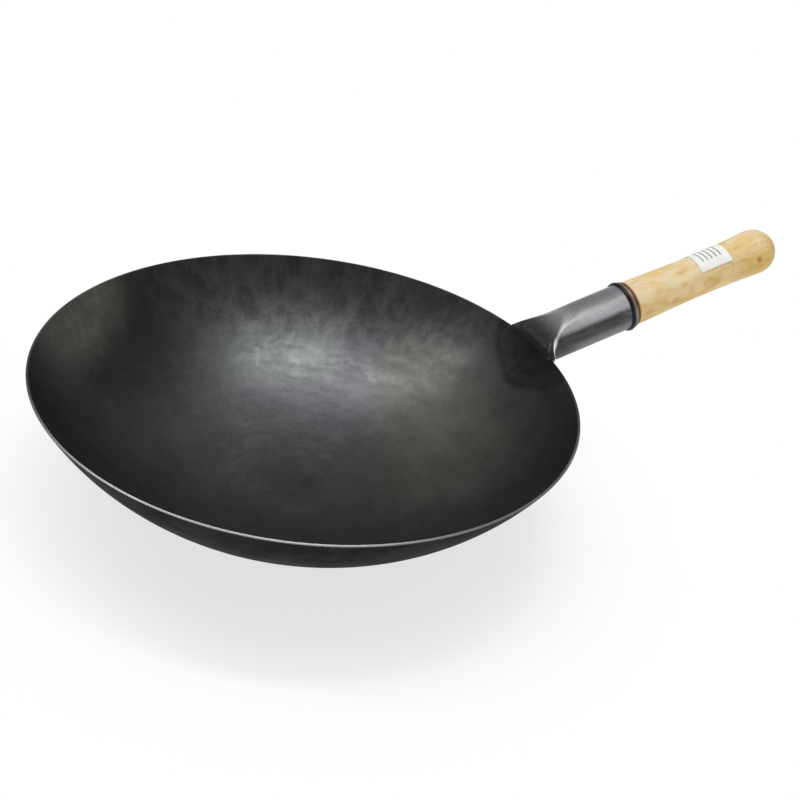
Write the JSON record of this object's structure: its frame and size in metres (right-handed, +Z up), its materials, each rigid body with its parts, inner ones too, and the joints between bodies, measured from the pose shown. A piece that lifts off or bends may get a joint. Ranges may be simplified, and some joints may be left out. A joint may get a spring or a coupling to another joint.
{
  "type": "wok",
  "caption": "Round-bottomed carbon steel wok with a welded hollow steel handle, a collar ring and a turned wooden grip, for stir-frying over a burner.",
  "frame": {"origin": "centre of the small flat under the bowl, the lowest point of the wok when its rim is level", "axes": "+Z up, square to the rim; +X along the handle, away from the bowl"},
  "size_m": [0.5545, 0.356, 0.1581],
  "materials": {
    "bowl_steel": "dark oiled carbon steel, faint concentric polish lines",
    "socket_steel": "satin steel with a faint blue tint",
    "weld_steel": "rough weld bead, heat tinted",
    "collar_steel": "black oxide ring with a paler neck",
    "grip_wood": "pale lacquered wood with orange-brown figure",
    "screw_steel": "plain zinc plated",
    "label_paper": "white coated paper"
  },
  "bodies": {
    "root": {"bowl": "bowl_steel", "handle_socket": "socket_steel", "foot_weld": "weld_steel", "collar_ring": "collar_steel", "wooden_grip": "grip_wood", "grip_screw": "screw_steel", "paper_label": "label_paper"}
  },
  "joints": []
}
